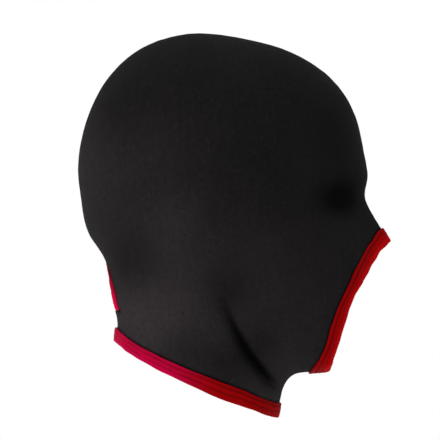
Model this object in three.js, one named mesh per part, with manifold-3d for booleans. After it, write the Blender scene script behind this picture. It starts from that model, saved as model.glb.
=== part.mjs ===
// A close-fitting stretch hood, open at the lower face. Two black side panels meet in a seam over the middle of
// the head, and red tape binds the face opening, the neck edge and a keyhole at the nape.
// Millimetres, +Z up, the face opening towards -Y, the hood's own left towards +X. The origin is the top of the
// hollow, inside the crown. "Ahead" is the distance in front of the origin, "up" the height above it.
import * as THREE from "three";
import { mergeVertices } from "three/addons/utils/BufferGeometryUtils.js";
import Module from "manifold-3d";

const wasm = await Module();
wasm.setup();

// Driving sizes
const wall = 1.5; // stretch fabric
const seamGap = 0.3; // between the two panels along the middle seam
const edgeGap = 0.3; // between a binding and the edge of fabric that it covers
const tapes = {
  face: { width: 10, thickness: 3, steps: 56, openingSide: 1 },
  neck: { width: 9.8, thickness: 3.2, steps: 52, openingSide: -1 },
  keyhole: { width: 8, thickness: 3.4, steps: 26, openingSide: 1 },
};

// Columns of facets down one side, counted from the front. They crowd towards the narrow nose ridge, and five
// of them, spread over twice the fold's half span in radians, keep beside the jaw fold all the way down.
const facetColumns = { front: 12, frontCrowding: 1.35, foldHalfSpan: 0.16, back: 10 };

// One row for each slice through the form, from the crown down. A slice is flat and runs from the back outline
// to the front outline. It is widest at widestShare of that length, and the nose ridge stands forward of it.
const backPower = 2.1;
const slices = rowsOf(
  [
    "place", "backAhead", "backUp", "frontAhead", "frontUp",
    "halfBreadth", "widestShare", "frontPower", "noseRise", "noseHalfWidth", "steps",
  ],
  [
    ["crown", 0, 1.5, 0, 1.5, 0, 0.45, 2, 0, 24, 2],
    ["crown_cap", -19, -0.9, 22, -0.9, 18, 0.45, 2, 0, 24, 2],
    ["crown_shoulder", -37.5, -7.5, 51.5, -7.5, 36, 0.44, 2, 0, 24, 2],
    ["hairline", -53, -18.5, 75, -18.5, 52, 0.43, 2.05, 0, 24, 2],
    ["high_forehead", -66.5, -34.5, 94, -34.5, 65, 0.42, 2.1, 0, 24, 2],
    ["forehead", -76.7, -56.5, 105.8, -56.5, 74.5, 0.41, 2.15, 0, 24, 2],
    ["low_forehead", -82, -78.5, 110.5, -78.5, 79, 0.4, 2.15, 0.5, 24, 2],
    ["brow", -82.6, -95.5, 114, -95.5, 80.5, 0.39, 2.15, 2, 22, 2],
    ["nose_root", -80.7, -108.5, 112, -108.5, 80, 0.39, 2.1, 5, 15, 2],
    ["nose_bridge", -79, -122.5, 118, -122.5, 79, 0.38, 2.05, 9, 13, 2],
    ["nose_middle", -74.8, -135.5, 127, -137.5, 77.5, 0.38, 2.05, 14, 13, 2],
    ["opening_high", -67.2, -146.5, 131, -156.5, 74.5, 0.37, 2, 15, 16, 1],
    ["opening_middle", -63.6, -158.5, 127, -182, 70.5, 0.36, 1.9, 11, 20, 2],
    ["opening_low", -61, -170.5, 115, -208, 66.5, 0.37, 1.85, 7, 24, 2],
    ["opening_foot", -59, -180.5, 99, -223.5, 63.5, 0.39, 1.85, 3, 26, 1],
    ["under_opening", -56.6, -188.5, 80, -227.3, 61.5, 0.42, 1.9, 1, 26, 1],
    ["throat_top", -55.8, -194.5, 66, -227.4, 60.5, 0.46, 2, 0, 26, 2],
    ["throat", -56.2, -201.5, 57.8, -234, 60, 0.48, 2.05, 0, 26, 2],
    ["neck", -57, -208.5, 54, -245.5, 60.3, 0.49, 2.05, 0, 26, 1],
    ["neck_edge", -58, -215.5, 51.8, -257, 61, 0.49, 2.05, 0, 26, 1],
    ["below_edge", -59, -223.5, 50, -268, 61.5, 0.49, 2.05, 0, 26, 0],
  ],
);

// Swellings and hollows of each side, as seen from that side. Flatness above 1 gives a broad top or floor.
const swellings = rowsOf(
  ["place", "ahead", "up", "halfLength", "halfHeight", "leanDegrees", "rise", "flatness"],
  [
    ["ear_swell", -2, -131, 20, 34, -10, 3, 1.3],
    ["eye_hollow", 94, -110, 13, 14, 0, -7, 1],
    ["temple_hollow", 72, -92, 20, 24, 0, -1.6, 1],
    ["cheek_swell", 72, -136, 24, 13, 12, 2.2, 1],
    ["jaw_swell", 36, -196, 22, 13, -32, 3, 1],
    ["neck_swell", 4, -212, 13, 26, 30, 2.2, 1],
  ],
);

// The fold that runs from behind the jaw to the throat, from its top end to its bottom end.
const jawFoldHalfWidth = 4.6;
const jawFold = rowsOf(
  ["ahead", "up", "depth"],
  [
    [15.5, -173, 0],
    [18.2, -184.8, 2],
    [23.6, -197.6, 3.6],
    [31, -211.5, 4.8],
    [40.5, -224.5, 5],
    [46, -231, 2.6],
    [51.5, -237.5, 0],
  ],
);

// Middle lines of the bound edges as seen from the side, each a smooth curve through a few places ahead and up.
// Their ends lie just outside the outline of the hood.
const faceEdge = sideCurve([127.2, -131.8], [111, -157.3], [97.8, -181], [88.5, -206], [79.2, -230.5]);
const neckEdge = sideCurve([-61, -198.6], [-38, -214.3], [-11, -228.3], [21, -242.2], [56.3, -253.7]);

// The keyhole at the nape, as seen from behind: an arch on two straight legs.
const keyhole = { halfWidth: 19, springUp: -176, footUp: -186.5, cutFrom: 90, cutDepth: 60 };

// A table given as column names and rows, as a list of objects.
function rowsOf(names, rows) {
  return rows.map((row) => Object.fromEntries(names.map((name, i) => [name, row[i]])));
}

function rowCalled(place) {
  return slices.findIndex((slice) => slice.place === place);
}

function sideCurve(...places) {
  return new THREE.SplineCurve(places.map((place) => new THREE.Vector2(...place)));
}

// The slice at a fractional row number, each column on a smooth curve through the rows. The row above the
// crown is the first one turned back to front, so that the top is round.
function sliceAt(row) {
  const last = slices.length - 1;
  const index = Math.min(Math.floor(row), last - 1);
  const first = slices[1];
  const turnedBack = {
    ...first,
    backAhead: first.frontAhead,
    frontAhead: first.backAhead,
    halfBreadth: -first.halfBreadth,
  };
  const rows = [index - 1, index, index + 1, Math.min(index + 2, last)].map((i) => slices[i] ?? turnedBack);
  const t = row - index;
  const smooth = ([p, q, r, s]) =>
    q + 0.5 * t * (r - p + t * (2 * p - 5 * q + 4 * r - s + t * (3 * (q - r) + s - p)));
  const sizes = Object.keys(first).filter((name) => name !== "place" && name !== "steps");
  return Object.fromEntries(sizes.map((name) => [name, smooth(rows.map((r) => r[name]))]));
}

function power(value, exponent) {
  return Math.sign(value) * Math.abs(value) ** exponent;
}

// A point of a slice, as distance along it from the back outline and distance to the left. The angle
// is 0 at the front of the slice and a half turn at its back.
function slicePoint(slice, angle) {
  const length = Math.hypot(slice.frontAhead - slice.backAhead, slice.frontUp - slice.backUp);
  const widest = slice.widestShare * length;
  const inFront = Math.cos(angle) >= 0;
  const exponent = 2 / (inFront ? slice.frontPower : backPower);
  const left = slice.halfBreadth * power(Math.sin(angle), exponent);
  const reach = inFront ? length - widest - slice.noseRise : widest;
  const nose = inFront ? slice.noseRise * Math.exp(-((left / slice.noseHalfWidth) ** 2)) : 0;
  return { length, along: widest + reach * power(Math.cos(angle), exponent) + nose, left };
}

function smoothForm(row, angle) {
  const slice = sliceAt(row);
  const { length, along, left } = slicePoint(slice, angle);
  const share = length > 0 ? along / length : 0;
  const ahead = slice.backAhead + share * (slice.frontAhead - slice.backAhead);
  const up = slice.backUp + share * (slice.frontUp - slice.backUp);
  return new THREE.Vector3(left, -ahead, up);
}

// The outward direction of a form, from points a little to each side.
function outward(form, row, angle) {
  const step = 0.01;
  if (row < step) return new THREE.Vector3(0, 0, 1);
  const lowest = slices.length - 1;
  const down = form(Math.min(row + step, lowest), angle).sub(form(row - step, angle));
  const around = form(row, angle + step).sub(form(row, angle - step));
  return around.cross(down).negate().normalize();
}

// How far the swellings stand out at a place in the side view, less the depth of the jaw fold there.
function relief(ahead, up) {
  let rise = 0;
  for (const s of swellings) {
    const lean = THREE.MathUtils.degToRad(s.leanDegrees);
    const [da, du] = [ahead - s.ahead, up - s.up];
    const length = (da * Math.cos(lean) + du * Math.sin(lean)) / s.halfLength;
    const height = (du * Math.cos(lean) - da * Math.sin(lean)) / s.halfHeight;
    rise += s.rise * Math.exp(-((length ** 2 + height ** 2) ** s.flatness));
  }
  return rise - jawFoldDepth(new THREE.Vector2(ahead, up));
}

function jawFoldDepth(place) {
  let depth = 0;
  for (let i = 0; i + 1 < jawFold.length; i++) {
    const from = new THREE.Vector2(jawFold[i].ahead, jawFold[i].up);
    const run = new THREE.Vector2(jawFold[i + 1].ahead, jawFold[i + 1].up).sub(from);
    const share = THREE.MathUtils.clamp(place.clone().sub(from).dot(run) / run.lengthSq(), 0, 1);
    const away = place.distanceTo(from.addScaledVector(run, share));
    const here = THREE.MathUtils.lerp(jawFold[i].depth, jawFold[i + 1].depth, share);
    depth = Math.max(depth, here * Math.exp(-((away / jawFoldHalfWidth) ** 2)));
  }
  return depth;
}

// The outer face of the hood.
function hoodForm(row, angle) {
  const point = smoothForm(row, angle);
  return point.addScaledVector(outward(smoothForm, row, angle), relief(-point.y, point.z));
}

function hoodPlace(row, angle) {
  return { point: hoodForm(row, angle), normal: outward(hoodForm, row, angle) };
}

// A number between low and high where a rising function reaches zero.
function rootOf(rising, low, high) {
  const halvings = 40;
  for (let i = 0; i < halvings; i++) {
    const middle = (low + high) / 2;
    if (rising(middle) < 0) low = middle;
    else high = middle;
  }
  return (low + high) / 2;
}

// The slice row that passes through a place in the side view, and the share of that slice's length there.
function sideRow(place) {
  const shareIn = (slice) => (place.x - slice.backAhead) / (slice.frontAhead - slice.backAhead);
  const drop = (row) => {
    const slice = sliceAt(row);
    return place.y - THREE.MathUtils.lerp(slice.backUp, slice.frontUp, shareIn(slice));
  };
  const row = rootOf(drop, rowCalled("crown_shoulder"), slices.length - 1);
  return { row, share: shareIn(sliceAt(row)) };
}

// The row and angle on the left side that are seen at a place in the side view.
function sidePlace(place) {
  const { row, share } = sideRow(place);
  const slice = sliceAt(row);
  const behind = (angle) => {
    const { length, along } = slicePoint(slice, angle);
    return share - along / length;
  };
  return { row, angle: rootOf(behind, 0, Math.PI) };
}

function leftPlace(place) {
  const { row, angle } = sidePlace(place);
  return hoodPlace(row, angle);
}

const mirrored = ({ point, normal }) => ({
  point: point.clone().setX(-point.x),
  normal: normal.clone().setX(-normal.x),
});

// A closed loop round both sides of the hood along a curve of the side view, in even steps.
function loopAlong(curve, steps) {
  const outside = (share) => {
    const along = sideRow(curve.getPoint(share)).share;
    return Math.max(along - 1, -along);
  };
  const start = rootOf((share) => -outside(share), 0, 0.5);
  const end = rootOf(outside, 0.5, 1);
  const samples = 160;
  const shareOf = (t) => start + ((end - start) * (1 - Math.cos(Math.PI * t))) / 2;
  const lengths = [0];
  let before = leftPlace(curve.getPoint(shareOf(0))).point;
  for (let i = 1; i <= samples; i++) {
    const point = leftPlace(curve.getPoint(shareOf(i / samples))).point;
    lengths.push(lengths[i - 1] + point.distanceTo(before));
    before = point;
  }
  const half = steps / 2;
  const side = [];
  for (let i = 0; i <= half; i++) {
    const wanted = (lengths[samples] * i) / half;
    const next = Math.max(1, lengths.findIndex((length) => length >= wanted - 1e-9));
    const part = (wanted - lengths[next - 1]) / (lengths[next] - lengths[next - 1]);
    side.push(leftPlace(curve.getPoint(shareOf((next - 1 + part) / samples))));
  }
  for (const { point, normal } of [side[0], side[half]]) {
    point.setX(0);
    normal.setX(0);
  }
  return [...side, ...side.slice(1, half).reverse().map(mirrored)];
}

// The place on the back of the hood that is seen from behind at a distance left and a height.
function backPlace(left, up) {
  const angleIn = (slice) => Math.PI - Math.asin(power(left / slice.halfBreadth, backPower / 2));
  const drop = (row) => up - smoothForm(row, angleIn(sliceAt(row))).z;
  const row = rootOf(drop, rowCalled("nose_root"), slices.length - 1);
  return hoodPlace(row, angleIn(sliceAt(row)));
}

// The middle line of the keyhole's tape, from the foot of one leg over the arch to the foot of the other.
function keyholeLine(footUp, steps) {
  const { halfWidth, springUp } = keyhole;
  const leg = springUp - footUp;
  const length = 2 * leg + Math.PI * halfWidth;
  const line = [];
  for (let i = 0; i <= steps; i++) {
    const run = (length * i) / steps;
    if (run < leg) line.push(backPlace(halfWidth, footUp + run));
    else if (run > length - leg) line.push(backPlace(-halfWidth, footUp + length - run));
    else {
      const angle = (run - leg) / halfWidth;
      line.push(backPlace(halfWidth * Math.cos(angle), springUp + halfWidth * Math.sin(angle)));
    }
  }
  return line;
}

// A closed solid over rings of points: closed round on itself, or with its two ends filled.
function solidOver(rings, endless) {
  const count = rings[0].length;
  const points = rings.flat();
  const triangles = [];
  const link = (upper, lower) => {
    for (let i = 0; i < count; i++) {
      const j = (i + 1) % count;
      const [a, b, c, d] = [upper * count + i, lower * count + i, lower * count + j, upper * count + j];
      const shorter = points[a].distanceTo(points[c]) < points[b].distanceTo(points[d]);
      triangles.push(...(shorter ? [a, b, c, a, c, d] : [a, b, d, b, c, d]));
    }
  };
  for (let r = 0; r + 1 < rings.length; r++) link(r, r + 1);
  if (endless) link(rings.length - 1, 0);
  else {
    for (const [ring, turned] of [[0, false], [rings.length - 1, true]]) {
      const middle = points.length;
      points.push(rings[ring].reduce((sum, p) => sum.add(p), new THREE.Vector3()).divideScalar(count));
      for (let i = 0; i < count; i++) {
        const [a, b] = [ring * count + i, ring * count + ((i + 1) % count)];
        triangles.push(middle, ...(turned ? [b, a] : [a, b]));
      }
    }
  }
  const geometry = new THREE.BufferGeometry().setFromPoints(points);
  geometry.setIndex(triangles);
  const made = manifoldOf(geometry);
  if (made.volume() > 0) return made;
  geometry.setIndex(triangles.reverse());
  return manifoldOf(geometry);
}

function manifoldOf(geometry) {
  const bare = geometry.clone();
  bare.deleteAttribute("normal");
  bare.deleteAttribute("uv");
  const merged = mergeVertices(bare, 1e-4);
  const index = merged.index.array;
  const triVerts = [];
  for (let i = 0; i < index.length; i += 3) {
    const [a, b, c] = index.slice(i, i + 3);
    if (a !== b && b !== c && c !== a) triVerts.push(a, b, c);
  }
  const mesh = new wasm.Mesh({
    numProp: 3,
    vertProperties: merged.attributes.position.array,
    triVerts: new Uint32Array(triVerts),
  });
  return new wasm.Manifold(mesh);
}

function geometryOf(solid) {
  const mesh = solid.getMesh();
  const geometry = new THREE.BufferGeometry();
  geometry.setAttribute("position", new THREE.BufferAttribute(mesh.vertProperties.slice(), 3));
  geometry.setIndex(new THREE.BufferAttribute(mesh.triVerts.slice(), 1));
  geometry.computeVertexNormals();
  return geometry;
}

// The angle of the jaw fold in a row, and that of its nearer end above and below it.
const foldTrack = jawFold.map(({ ahead, up }) => sidePlace(new THREE.Vector2(ahead, up)));
function foldAngle(row) {
  const next = foldTrack.findIndex((place) => place.row > row);
  if (next === 0) return foldTrack[0].angle;
  if (next < 0) return foldTrack.at(-1).angle;
  const [above, below] = foldTrack.slice(next - 1, next + 1);
  return THREE.MathUtils.mapLinear(row, above.row, below.row, above.angle, below.angle);
}

// The angles of one row's points, all the way round.
function columnAngles(row) {
  const { front, frontCrowding, foldHalfSpan, back } = facetColumns;
  const fold = foldAngle(row);
  const side = [];
  for (let i = 0; i < front; i++) side.push((fold - foldHalfSpan) * (i / front) ** frontCrowding);
  for (let i = -2; i < 2; i++) side.push(fold + (foldHalfSpan * i) / 2);
  for (let i = 0; i <= back; i++) {
    side.push(THREE.MathUtils.lerp(fold + foldHalfSpan, Math.PI, i / back));
  }
  const otherSide = side.slice(1, -1).reverse();
  return [...side, ...otherSide.map((angle) => 2 * Math.PI - angle)];
}

// The whole head form, set in from the outer face by some depth and filled at the bottom.
function headSolid(depth) {
  const rows = [];
  slices.forEach((slice, i) => {
    for (let step = 0; step < slice.steps; step++) rows.push(i + step / slice.steps);
  });
  rows.push(slices.length - 1);
  const ring = (row) =>
    columnAngles(row).map((angle) => {
      const { point, normal } = hoodPlace(row, angle);
      return point.addScaledVector(normal, -depth);
    });
  return solidOver(rows.map(ring), false);
}

// A section carried along places on the hood. Across runs along the surface, out along its normal, and the
// section's own middle lies in the middle of the wall.
function carried(line, section, endless) {
  const rings = line.map(({ point, normal }, i) => {
    const next = line[endless ? (i + 1) % line.length : Math.min(i + 1, line.length - 1)].point;
    const last = line[endless ? (i + line.length - 1) % line.length : Math.max(i - 1, 0)].point;
    const across = next.clone().sub(last).cross(normal).normalize();
    const middle = point.clone().addScaledVector(normal, -wall / 2);
    return section.map(([a, o]) => middle.clone().addScaledVector(across, a).addScaledVector(normal, o));
  });
  return solidOver(rings, endless);
}

// Folded tape with two sewn grooves on its outer face, as shares of its half width and half thickness. The
// first row is the edge on the fabric.
const tapeOutline = rowsOf(
  ["across", "out"],
  [
    [-1, -0.3],
    [-0.9, 0.8],
    [-0.7, 1],
    [-0.45, 0.62],
    [-0.2, 0.98],
    [0.14, 0.66],
    [0.42, 0.98],
    [0.88, 0.8],
    [1, -0.3],
    [0.8, -1],
    [-0.8, -1],
  ],
);

function binding(line, tape, endless = true) {
  const section = tapeOutline.map(({ across, out }) => [
    (tape.openingSide * across * tape.width) / 2,
    (out * tape.thickness) / 2,
  ]);
  return carried(line, section, endless);
}

// The room that a binding takes out of the panels.
function channel(line, tape, endless = true) {
  const halfWidth = tape.width / 2 + edgeGap;
  const halfDepth = 2 * wall;
  const section = [[-1, -1], [1, -1], [1, 1], [-1, 1]].map(([a, o]) => [a * halfWidth, o * halfDepth]);
  return carried(line, section, endless);
}

function box(size, middle) {
  return manifoldOf(new THREE.BoxGeometry(...size).translate(...middle));
}

// Everything inside the keyhole's arch, through the back of the hood.
function keyholeCore() {
  const { halfWidth, springUp, footUp, cutFrom, cutDepth } = keyhole;
  const shape = new THREE.Shape();
  shape.moveTo(-halfWidth, footUp);
  shape.lineTo(halfWidth, footUp);
  shape.absarc(0, springUp, halfWidth, 0, Math.PI, false);
  const core = new THREE.ExtrudeGeometry(shape, { depth: cutDepth, bevelEnabled: false, curveSegments: 10 });
  return manifoldOf(core.rotateX(Math.PI / 2).translate(0, cutFrom, 0));
}

const largest = (solid) => solid.decompose().sort((a, b) => b.volume() - a.volume())[0];

const faceLine = loopAlong(faceEdge, tapes.face.steps);
const neckLine = loopAlong(neckEdge, tapes.neck.steps);
const archLine = keyholeLine(keyhole.footUp + edgeGap, tapes.keyhole.steps);
const archCutLine = keyholeLine(keyhole.footUp, tapes.keyhole.steps);

const shell = headSolid(0).subtract(headSolid(wall));
const openings = [
  channel(faceLine, tapes.face),
  channel(neckLine, tapes.neck),
  channel(archCutLine, tapes.keyhole, false),
  keyholeCore(),
];

function sidePanel(side) {
  const room = 400;
  const half = shell.intersect(box([room, room, 2 * room], [side * (room / 2 + seamGap / 2), 0, 0]));
  return largest(openings.reduce((rest, cut) => rest.subtract(cut), half));
}

const fabric = new THREE.MeshStandardMaterial({ color: 0x1c1b1c, roughness: 0.85, metalness: 0 });
const redTape = new THREE.MeshStandardMaterial({ color: 0xa80a14, roughness: 0.75, metalness: 0 });

const hood = new THREE.Group();
function add(name, solid, material) {
  const mesh = new THREE.Mesh(geometryOf(solid), material);
  mesh.name = name;
  hood.add(mesh);
}

add("left_panel", sidePanel(1), fabric);
add("right_panel", sidePanel(-1), fabric);
add("face_binding", binding(faceLine, tapes.face), redTape);
add("neck_binding", binding(neckLine, tapes.neck), redTape);
add("keyhole_binding", binding(archLine, tapes.keyhole, false), redTape);

export default hood;
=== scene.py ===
import math
from functools import partialmethod

import bmesh
import bpy
import numpy as np
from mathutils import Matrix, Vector, noise
from mathutils.bvhtree import BVHTree
from mathutils.kdtree import KDTree


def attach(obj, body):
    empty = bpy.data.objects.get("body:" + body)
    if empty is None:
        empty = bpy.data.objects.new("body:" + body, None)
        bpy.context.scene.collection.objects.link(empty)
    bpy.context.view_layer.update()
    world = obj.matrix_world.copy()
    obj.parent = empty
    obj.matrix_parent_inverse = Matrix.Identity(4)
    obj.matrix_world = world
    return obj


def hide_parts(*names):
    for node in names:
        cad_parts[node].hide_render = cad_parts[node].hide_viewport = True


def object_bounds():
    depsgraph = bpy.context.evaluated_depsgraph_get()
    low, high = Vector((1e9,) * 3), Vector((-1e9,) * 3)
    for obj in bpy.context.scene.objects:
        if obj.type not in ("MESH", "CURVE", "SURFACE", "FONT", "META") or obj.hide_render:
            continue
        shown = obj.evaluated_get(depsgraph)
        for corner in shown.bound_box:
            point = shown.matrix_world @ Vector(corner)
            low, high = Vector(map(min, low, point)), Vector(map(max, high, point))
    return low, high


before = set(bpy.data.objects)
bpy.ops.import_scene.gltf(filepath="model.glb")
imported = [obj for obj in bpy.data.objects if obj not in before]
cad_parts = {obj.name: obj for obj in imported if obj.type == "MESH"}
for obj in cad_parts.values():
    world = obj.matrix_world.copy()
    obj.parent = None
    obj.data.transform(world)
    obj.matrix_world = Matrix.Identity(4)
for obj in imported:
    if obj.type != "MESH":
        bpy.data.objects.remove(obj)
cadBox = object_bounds()
mm = 0.001
weld = 0.01 * mm  # points nearer than this are one
print("hood: frame loaded,", len(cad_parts), "CAD nodes")


# small helpers for working as by hand

def clearSelection():
    if bpy.context.object and bpy.context.object.mode != "OBJECT":
        bpy.ops.object.mode_set(mode="OBJECT")
    bpy.ops.object.select_all(action="DESELECT")


def activate(obj):
    clearSelection()
    obj.select_set(True)
    bpy.context.view_layer.objects.active = obj


def startEdit(obj, mode, chosen="DESELECT"):
    activate(obj)
    bpy.ops.object.mode_set(mode="EDIT")
    bpy.ops.mesh.select_mode(type=mode)
    bpy.ops.mesh.select_all(action=chosen)
    return bmesh.from_edit_mesh(obj.data)


def endEdit():
    bpy.ops.object.mode_set(mode="OBJECT")


def selectOpenEdges():
    bpy.ops.mesh.select_non_manifold(extend=False, use_wire=False, use_boundary=True, use_multi_face=False,
                                     use_non_contiguous=False, use_verts=False)


def smoothOut(obj):  # all faces outwards, shaded smooth
    startEdit(obj, "FACE", "SELECT")
    bpy.ops.mesh.normals_make_consistent(inside=False)
    endEdit()
    activate(obj)
    bpy.ops.object.shade_smooth()


def finishWith(obj, kind, **settings):  # adds one modifier and applies it
    modifier = obj.modifiers.new(kind.lower(), kind)
    for name, value in settings.items():
        setattr(modifier, name, value)
    activate(obj)
    bpy.ops.object.modifier_apply(modifier=modifier.name)


def newObject(name, mesh):
    obj = bpy.data.objects.new(name, mesh)
    bpy.context.scene.collection.objects.link(obj)
    return obj


def tell(obj):
    print("hood:", obj.name, len(obj.data.polygons), "faces")


def copyOf(obj, name):
    twin = newObject(name, obj.data.copy())
    twin.data.materials.clear()
    return twin


def valuesOf(rows, name, width, kind=float):
    found = np.empty(len(rows) * width, kind)
    rows.foreach_get(name, found)
    return found.reshape(-1, width)


def pointsOf(obj):
    return valuesOf(obj.data.vertices, "co", 3)


def normalsOf(obj):
    return valuesOf(obj.data.vertex_normals, "vector", 3)


def cornersOf(obj):  # the point at each corner of each face
    return valuesOf(obj.data.loops, "vertex_index", 1, int)[:, 0]


def movePoints(obj, points):
    obj.data.vertices.foreach_set("co", points.ravel())
    obj.data.update()


def unit(rows):
    return rows / np.maximum(np.linalg.norm(rows, axis=-1, keepdims=True), 1e-12)


def bell(distance, width):  # 1 at the middle, soft to 0
    return np.exp(-(distance / width) ** 2)


def smooth(value, low, high):  # 0 at low, 1 at high, and even at both
    share = np.clip((value - low) / (high - low), 0, 1)
    return share * share * (3 - 2 * share)


def nearestOn(points, line):  # index of the nearest line point, and how far it is
    tree = KDTree(len(line))
    for i, place in enumerate(line):
        tree.insert(place, i)
    tree.balance()
    found = [tree.find(p) for p in points]
    return np.array([f[1] for f in found]), np.array([f[2] for f in found])


# bound edges: the two sewn grooves of each CAD tape give its line, its width across and its outward side

tapes = {
    "faceBinding": {
        "node": "face_binding", "closed": True, "halfWidth": 5.0 * mm, "halfThick": 1.5 * mm,
        "grooves": ((-0.57, 0.5, 0.12), (0.05, 0.2, 0.18)), "overlap": 0.9 * mm, "gather": 0.45 * mm,
        "tone": 1.5, "fabricShade": 0.4, "shade": ((0, 0),), "axis": (0, 0, 1),
        "edges": (  # mm up; mm that the fabric and open sides move; mm proud; depth shares of the rows
            (-228, -1.6, 0.9, 0.3, 1, 1), (-225, -1.0, 1.9, 0, 1, 1), (-220, 0.7, 2.2, 0, 1, 1),
            (-213, 1.5, 1.6, 0, 1, 1), (-206, 1.6, 1.4, 0, 1, 1), (-200, 0.4, 0.7, 0, 1, 0.8),
            (-192, 0.6, 0.4, 0, 1, 0.7), (-188, 0.3, 0.4, 0, 1, 0.7), (-184, 0.3, -0.5, 0, 1, 0.7),
            (-172, 0.4, -1.6, 0, 1, 0.7), (-168, -0.7, -1.0, 0, 1, 0.7), (-164, -1.9, -0.8, 0, 1, 0.7),
            (-156, -2.0, -1.2, 0, 1, 0.7), (-152, -2.3, -1.8, 0, 1, 0.8), (-148, -1.7, -1.4, 0, 1, 1),
            (-144, -0.6, -2.4, 0, 1, 1), (-141, -0.8, -1.0, 0, 1, 1), (-138, -0.7, 0.2, 0, 1, 1),
            (-134, 1.4, 0.9, -0.2, 1, 1),
        ),
    },
    "neckBinding": {
        "node": "neck_binding", "closed": True, "halfWidth": 4.9 * mm, "halfThick": 1.6 * mm,
        "grooves": ((-0.6, 0.46, 0.12), (0.1, 0.34, 0.12)), "overlap": 0.8 * mm, "gather": 0.3 * mm,
        "tone": 1.0, "fabricShade": 0.0, "shade": ((0, 0),), "axis": (0, -1, 0),
        "edges": (  # mm ahead; the same
            (-56, 0.8, -0.2, 1.0, 0.3, 0.3), (-53, 1.6, -0.5, 0.5, 0.3, 0.2), (-47, 2.1, -0.1, 0, 0.3, 0.1),
            (-40, 1.7, -0.6, 0, 0.4, 0.15), (-34, 1.1, -1.2, 0, 0.5, 0.2), (-24, 0.6, -1.2, 0, 0.55, 0.4),
            (-13, 0, -1.7, 0, 0.65, 0.8), (-3, -0.5, -1.7, 0, 0.6, 1), (7, -1.1, -1.3, 0, 0.75, 1),
            (17, -1.3, -1.2, 0, 0.95, 1), (27, -1.3, -1.6, 0, 1, 1), (37, 0.2, -1.1, 0, 1, 1),
            (44, 1.0, 0, 0, 1, 1), (49, 1.3, 0.2, 0.4, 1, 1), (53, 0.8, 0.8, 1.2, 1, 1),
        ),
    },
    "keyholeBinding": {
        "node": "keyhole_binding", "closed": False, "halfWidth": 4.0 * mm, "halfThick": 1.7 * mm,
        "grooves": ((-0.52, 0.4, 0.15), (0.5, 0.34, 0.15)), "overlap": 0.8 * mm, "gather": 0.3 * mm,
        # the keyhole's brighter tone is painted light, with painted shade at its arch top
        "tone": 1.65, "fabricShade": 0.0, "axis": (0, 0, 1),
        "shade": ((-181, 0), (-177, 0.12), (-172, 0.38), (-168.5, 0.45), (-165.5, 0.8)),  # mm up; how much
        "edges": (  # mm up; the same
            (-164, 0, 0, 0, 1, 1), (-157, 0, 0, -0.3, 1, 1), (-150, 0, 0, -0.35, 1, 1),
        ),
    },
}
sewing = {
    "grooveAngle": -0.42, "shortChain": 12,  # hollow CAD edges in long chains are a groove
    "grooveShares": (-0.45, 0.14), "grooveHeight": 0.64,  # of the CAD tape's half width and half thickness
    "curveSteps": 12, "evening": 4, "bendEvening": 12, "moveEvening": 20,
    "stepAlong": 0.62 * mm, "stepsRound": 64, "pitch": 2.8 * mm,
    "crisp": 7.0, "soft": 3.6,  # powers of the turned edge and of the fold at the opening
    "insideDepth": 0.5,  # of a groove's depth, on the inside of the tape
    "wander": 0.16, "wanderLength": 17 * mm, "wanderSeed": 4.5,
    "calm": (0.7, 6 * mm),  # the grooves are shallower in the middle of the front and back
    "waveReach": 6, "waveHeight": 0.2 * mm, "edgeWave": 0.22 * mm,
    "rowWidth": 0.3, "stitchHeight": 0.1 * mm,  # the tape swells between the stitches of a row
    "wrinkleLength": 2.6 * mm, "wrinkleSeed": 9.1, "wrinkleCalm": 0.35,
    "tightBend": 25, "bendSpan": 90, "foldLength": 3.4 * mm, "foldStray": 3,  # gathers where the tape bends
    "tapePullAndLight": (-12, 30),  # mm back; from none to all: painted light, the tape lighter towards the back
    "leastPull": 0.7, "pullAndLightSpan": (-0.3, 0.5),  # less pull and painted light beside the fabric than at the opening
    "grooveShade": 1.35, "grooveShadeWidth": 1.15,  # how dark and broad the painted shade in a groove is
    "litSpan": (-0.3, 0.45),  # the shade beside the fabric ends here
    "pressed": 0.2, "pressSpan": (1.5 * mm, 4.5 * mm),  # how thin the tacks press the ends
}
nape = {  # further in above the keyhole; mm ahead and up
    "ahead": -63, "up": -158, "reach": 11, "wide": 22 * mm, "depth": 2.0 * mm,
}


def grooveChains(node):
    bm = bmesh.new()
    bm.from_mesh(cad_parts[node].data)
    bmesh.ops.remove_doubles(bm, verts=bm.verts, dist=weld)
    bm.verts.index_update()
    links = {}
    for edge in bm.edges:
        if edge.calc_face_angle_signed(0) < sewing["grooveAngle"]:  # the bottom of a groove
            a, b = edge.verts
            links.setdefault(a, []).append(b)
            links.setdefault(b, []).append(a)
    chains = []
    unused = set(links)
    while unused:
        here = min(unused, key=lambda v: (len(links[v]), v.index))
        chain = []
        while here:
            unused.discard(here)
            chain.append(here.co[:])
            here = min((v for v in links[here] if v in unused), key=lambda v: v.index, default=None)
        if len(chain) > sewing["shortChain"]:
            chains.append(np.array(chain))
    bm.free()
    return chains


def alongLine(rows, closed, step):  # a smooth curve through the rows, in even steps
    if closed:
        padded = np.vstack([rows[-1:], rows, rows[:2]])
    else:
        padded = np.vstack([2 * rows[:1] - rows[1:2], rows, 2 * rows[-1:] - rows[-2:-1]])
    t = np.linspace(0, 1, sewing["curveSteps"], endpoint=False)[:, None]
    fine = []
    for i in range(len(padded) - 3):
        a, b, c, d = padded[i:i + 4]
        curve = (c - a) * t + (2 * a - 5 * b + 4 * c - d) * t ** 2
        fine.append(b + 0.5 * (curve + (3 * b - a - 3 * c + d) * t ** 3))
    fine = np.vstack(fine + [rows[:1] if closed else rows[-1:]])
    middle = (fine[:, :3] + fine[:, 3:]) / 2
    gone = np.concatenate([[0], np.cumsum(np.linalg.norm(np.diff(middle, axis=0), axis=1))])
    count = int(round(gone[-1] / step)) + (0 if closed else 1)
    at = np.linspace(0, gone[-1], count, endpoint=not closed)
    return np.column_stack([np.interp(at, gone, column) for column in fine.T]), at, gone[-1]


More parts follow.
